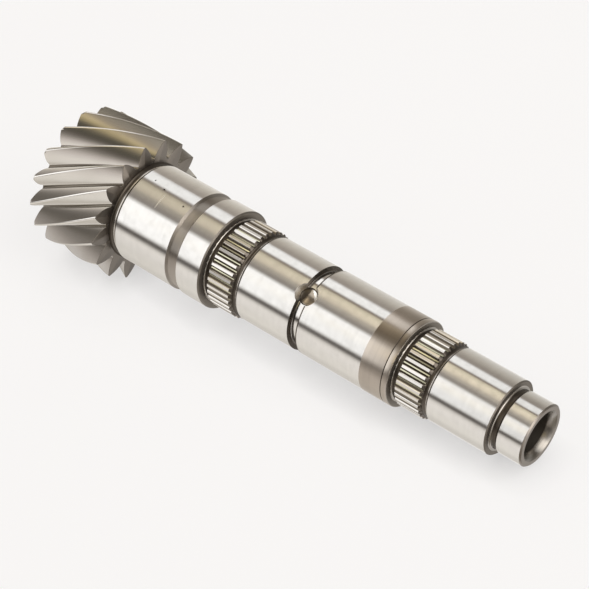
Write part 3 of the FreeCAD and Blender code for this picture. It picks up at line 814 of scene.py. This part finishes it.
def ringTree(name, steels):
    # repeats one tooth round the axis: Count of them, the first turned by Phase. The first steel
    # goes on everything, and each of the others on the faces marked with its name
    tree = bpy.data.node_groups.new(name, "GeometryNodeTree")
    tree.interface.new_socket("Geometry", in_out="OUTPUT", socket_type="NodeSocketGeometry")
    tree.interface.new_socket("Tooth", in_out="INPUT", socket_type="NodeSocketGeometry")
    tree.interface.new_socket("Count", in_out="INPUT", socket_type="NodeSocketInt")
    tree.interface.new_socket("Phase", in_out="INPUT", socket_type="NodeSocketFloat")
    entry = addNode(tree, "NodeGroupInput")
    line = addNode(tree, "GeometryNodeMeshLine", {"mode": "OFFSET"},
                   {"Count": entry.outputs["Count"], "Offset": (0, 0, 0)})
    index = addNode(tree, "GeometryNodeInputIndex")
    share = addNode(tree, "ShaderNodeMath", {"operation": "DIVIDE"},
                    {0: index.outputs[0], 1: entry.outputs["Count"]})
    turn = addNode(tree, "ShaderNodeMath", {"operation": "MULTIPLY_ADD"},
                   {0: share.outputs[0], 1: 2 * math.pi, 2: entry.outputs["Phase"]})
    angles = addNode(tree, "ShaderNodeCombineXYZ", values={"Z": turn.outputs[0]})
    copies = addNode(tree, "GeometryNodeInstanceOnPoints", values={
        "Points": line.outputs[0], "Instance": entry.outputs["Tooth"],
        "Rotation": angles.outputs[0]})
    real = addNode(tree, "GeometryNodeRealizeInstances", values={0: copies.outputs[0]})
    shown = addNode(tree, "GeometryNodeSetMaterial",
                    values={0: real.outputs[0], "Material": steels[0]})
    for material in steels[1:]:
        marked = addNode(tree, "GeometryNodeInputNamedAttribute", {"data_type": "BOOLEAN"},
                         {"Name": material.name})
        shown = addNode(tree, "GeometryNodeSetMaterial", values={
            0: shown.outputs[0], "Selection": marked.outputs[0], "Material": material})
    addNode(tree, "NodeGroupOutput", values={0: shown.outputs[0]})
    return tree


def ringOf(name, mesh, tree, count, phase):
    piece = showObject(name + "Seed", mesh)
    modifier = piece.modifiers.new("ring", "NODES")
    modifier.node_group = tree
    sockets = {item.name: item.identifier for item in tree.interface.items_tree
               if item.in_out == "INPUT"}
    modifier[sockets["Count"]] = count
    modifier[sockets["Phase"]] = math.radians(phase)
    piece = plainCopy(piece, name)
    for mark in [a.name for a in piece.data.attributes if a.name.endswith("Steel")]:
        piece.data.attributes.remove(piece.data.attributes[mark])
    return piece


# each spline: its teeth and their first bearing, the gap's floor and the land's top as radii, the
# gap's width at both, where it starts and ends, its lead-in, its run-out and its lands' edges
firstSpline = {"teeth": 36, "phase": 5.8, "root": 19.8, "tip": 21.0, "gapTop": 2.45,
               "gapFloor": 0.75, "start": 96.8, "end": 110.2, "lead": 0.3, "bevel": 1.1,
               "edge": 0.14}
secondSpline = {"teeth": 31, "phase": 10.0, "root": 16.6, "tip": 17.8, "gapTop": 2.4,
                "gapFloor": 0.8, "start": 196.9, "end": 210.5, "lead": 0.6, "bevel": 1.2,
                "edge": 0.14}

splineRing = ringTree("splineRing", [flankSteel, landSteel, turnedSteel])
splineTeeth = []
for label, size in (("firstSpline", firstSpline), ("secondSpline", secondSpline)):
    tooth = splineToothMesh(label + "Tooth", size)
    splineTeeth.append(ringOf(label, tooth, splineRing, size["teeth"], size["phase"]))
print("splines cut")


pinion = {
    "teeth": 16,
    "width": 40.4,
    "twist": 42.8,
    "phase": 1.2,
    "tip": 34.25,
    "root": 25.8,
    "base": 26.1,
    # half a land, in degrees round the axis
    "landHalf": 0.75,
    "farChamfer": 1.1,
    # bevel of the far end's edges, and the near end's as shares of it: its height and its inset
    "edge": 0.22,
    "nearBevel": (0.35, 0.45),
    # rows up a tooth, and points of its flank and of its fillet
    "rows": 44,
    "flankSteps": 14,
    "filletSteps": 6,
    # the flank starts this far above the base circle, and ends this far below the tip
    "flankStart": 0.45,
    "flankEnd": 0.25,
    # share of the gap's half angle that is flat floor
    "gapFlat": 0.3,
    # edge of the land: how far below the tip and, in degrees, how far outside the land it
    # starts, and the share of the half land at which it ends
    "landEdge": (0.1, 0.12, 0.55),
    # points of the section, from the gap's middle, whose faces take the dark steel as painted shade
    "shadePoints": 3,
    "weld": 0.002,
    "sharp": 28,
}


def toothHalfAngle(r):
    # half the tooth's angle at a radius, in degrees, on its involute flank
    tipPressure = math.acos(pinion["base"] / pinion["tip"])
    pressure = math.acos(min(1, pinion["base"] / r))
    wider = (math.tan(tipPressure) - tipPressure) - (math.tan(pressure) - pressure)
    return pinion["landHalf"] + math.degrees(wider)


def toothSection(inset):
    # half a tooth from the middle of the gap to the middle of the land, as radii and degrees off
    # the tooth's middle
    halfPitch = 180 / pinion["teeth"]
    root, tip = pinion["root"], pinion["tip"]
    low, high = pinion["base"] + pinion["flankStart"], tip - pinion["flankEnd"]
    gapHalf = halfPitch - toothHalfAngle(low)
    flat = pinion["gapFlat"]
    points = [(root, halfPitch), (root, halfPitch - gapHalf * flat)]
    # fillet between the gap's floor and the flank
    steps = pinion["filletSteps"]
    for i in range(1, steps):
        a = math.radians(90 * (i / steps))
        points.append((root + (low - root) * (1 - math.cos(a)),
                       halfPitch - gapHalf * (flat + (1 - flat) * math.sin(a))))
    steps = pinion["flankSteps"]
    for i in range(steps + 1):
        r = low + (high - low) * i / steps
        points.append((r, toothHalfAngle(r)))
    below, outside, endShare = pinion["landEdge"]
    land = toothHalfAngle(tip)
    points += [(tip - below, land + outside), (tip, land * endShare), (tip, 0)]
    if inset:
        # a bevel takes the whole section in, the flanks more than the gap's floor
        shrunk = []
        for r, angle in points:
            inwards = 0.8 if r > root + 0.2 else 1.0
            sideways = 0.9 if r > root + 0.4 else 0.3
            shrunk.append((r - inset * inwards,
                           max(angle - math.degrees(inset / r) * sideways, 0.0)))
        points = shrunk
    return points


def pinionToothMesh():
    # one tooth with half the gap on each side, twisted up the pinion
    height, edge, chamfer = pinion["width"], pinion["edge"], pinion["farChamfer"]
    bevelHeight, bevelInset = pinion["nearBevel"]
    # heights of the rows, with how far a bevel takes each in
    levels = [(0.0, edge), (edge, 0.0), (chamfer, 0.0)]
    inner = pinion["rows"]
    stop = height - edge * bevelHeight
    levels += [(chamfer + (stop - chamfer) * i / inner, 0.0) for i in range(1, inner + 1)]
    levels.append((height, edge * bevelInset))
    vertices = []
    for z, inset in levels:
        half = toothSection(inset)
        section = half + [(r, -a) for r, a in reversed(half[:-1])]
        limit = pinion["tip"] - max(chamfer - z, 0)
        middle = pinion["twist"] * (height - z) / height
        for r, a in section:
            r = min(r, limit)
            b = math.radians(middle - a)
            vertices.append((r * mm * math.sin(b), -r * mm * math.cos(b), z * mm))
    faces = []
    kinds = []
    count, rows = len(section), len(levels)
    for k in range(rows - 1):
        for i in range(count - 1):
            first, above = k * count + i, (k + 1) * count + i
            faces.append((first, first + 1, above + 1, above))
            step = min(i, count - 2 - i)
            # the far bevel's row is bright land; the near bevel's row and the gap's middle take the
            # dark steel as painted shade
            if k == 0:
                kinds.append("landSteel")
            elif k == rows - 2 or step < pinion["shadePoints"]:
                kinds.append("flankSteel")
            elif step >= count // 2 - 2:
                kinds.append("landSteel")
            else:
                kinds.append("toothSteel")
    # end faces: a fan from the axis on each
    far, near = len(vertices), len(vertices) + 1
    vertices += [(0, 0, 0), (0, 0, height * mm)]
    last = (rows - 1) * count
    faces += [(far, i + 1, i) for i in range(count - 1)]
    faces += [(near, last + i, last + i + 1) for i in range(count - 1)]
    kinds += ["toothEndSteel"] * 2 * (count - 1)
    mesh = bpy.data.meshes.new("pinionTooth")
    mesh.from_pydata(vertices, [], faces)
    markFaces(mesh, kinds)
    return mesh


def buildPinion():
    pinionRing = ringTree("pinionRing", [toothSteel, landSteel, flankSteel, toothEndSteel])
    gear = ringOf("helicalPinion", pinionToothMesh(), pinionRing,
                  pinion["teeth"], pinion["phase"])
    mesh = gear.data
    work = bmesh.new()
    work.from_mesh(mesh)
    bmesh.ops.remove_doubles(work, verts=work.verts, dist=pinion["weld"] * mm)
    bmesh.ops.recalc_face_normals(work, faces=work.faces)
    work.to_mesh(mesh)
    work.free()
    smoothFaces(mesh, pinion["sharp"])
    return gear


helicalPinion = buildPinion()
print("pinion cut", len(helicalPinion.data.polygons))

marks = {
    "journalRadius": 23.6,
    # one scratch part of the way round, between two bearings at a height, and its width
    "scratch": (-25.8, -6.5, 59.6),
    "scratchWidth": 0.5,
    "scratchSteps": 24,
    # stained pits: bearing, height and radius of each
    "pits": [(-23.7, 71.0, 0.62), (-30.3, 57.2, 0.75), (-35.3, 50.1, 0.5)],
    "pitPoints": 12,
    "pitOval": 0.2,
    # how far the scratch's lip stands proud
    "lift": 0.02,
}


def onJournal(bearing, height, lift):
    a = math.radians(bearing)
    r = (marks["journalRadius"] + lift) * mm
    return (r * math.sin(a), -r * math.cos(a), height * mm)


def buildMarks():
    lift = marks["lift"]
    start, stop, height = marks["scratch"]
    steps = marks["scratchSteps"]
    vertices = []
    faces = []
    # the scratch's thrown-up lip: a thin ridge that tapers to nothing at both ends
    for i in range(steps + 1):
        share = i / steps
        half = marks["scratchWidth"] / 2 * max(math.sin(math.pi * share) ** 0.5, 0.05)
        bearing = start + (stop - start) * share
        vertices += [onJournal(bearing, height - half, -lift / 2),
                     onJournal(bearing, height, lift),
                     onJournal(bearing, height + half, -lift / 2)]
    for i in range(steps):
        for side in range(3):
            a, b = i * 3 + side, i * 3 + (side + 1) % 3
            faces.append((a, b, b + 3, a + 3))
    faces += [(2, 1, 0), (steps * 3, steps * 3 + 1, steps * 3 + 2)]
    indices = [0] * len(faces)
    # each pit: a flat cone that just breaks the surface, closed by another below it
    rim = marks["pitPoints"]
    for bearing, height, radius in marks["pits"]:
        first = len(vertices)
        vertices += [onJournal(bearing, height, lift / 2), onJournal(bearing, height, -lift)]
        for i in range(rim):
            a = 2 * math.pi * i / rim
            reach = radius * (1 + marks["pitOval"] * math.sin(2 * a + 1))
            turn = math.degrees(reach * math.cos(a) / marks["journalRadius"])
            vertices.append(onJournal(bearing + turn, height + reach * math.sin(a), -lift / 4))
        for i in range(rim):
            here, after = first + 2 + i, first + 2 + (i + 1) % rim
            faces += [(first, here, after), (first + 1, after, here)]
            indices += [1, 1]
    mesh = bpy.data.meshes.new("handlingMarks")
    mesh.from_pydata(vertices, [], faces)
    mesh.materials.append(scratchSteel)
    mesh.materials.append(pitSteel)
    mesh.polygons.foreach_set("material_index", indices)
    work = bmesh.new()
    work.from_mesh(mesh)
    bmesh.ops.recalc_face_normals(work, faces=work.faces)
    work.to_mesh(mesh)
    work.free()
    return showObject("handlingMarks", mesh)


handlingMarks = buildMarks()
print("journal marked")

# each flank mirrors the room and not the next tooth, as the photographed ones nearly do
helicalPinion.visible_glossy = False

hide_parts("pinion")
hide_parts("shaft")
for piece in [turnedShaft, helicalPinion, handlingMarks] + splineTeeth:
    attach(piece, root)

bpy.context.scene.view_settings.view_transform = "Standard"

print("pieces ready")
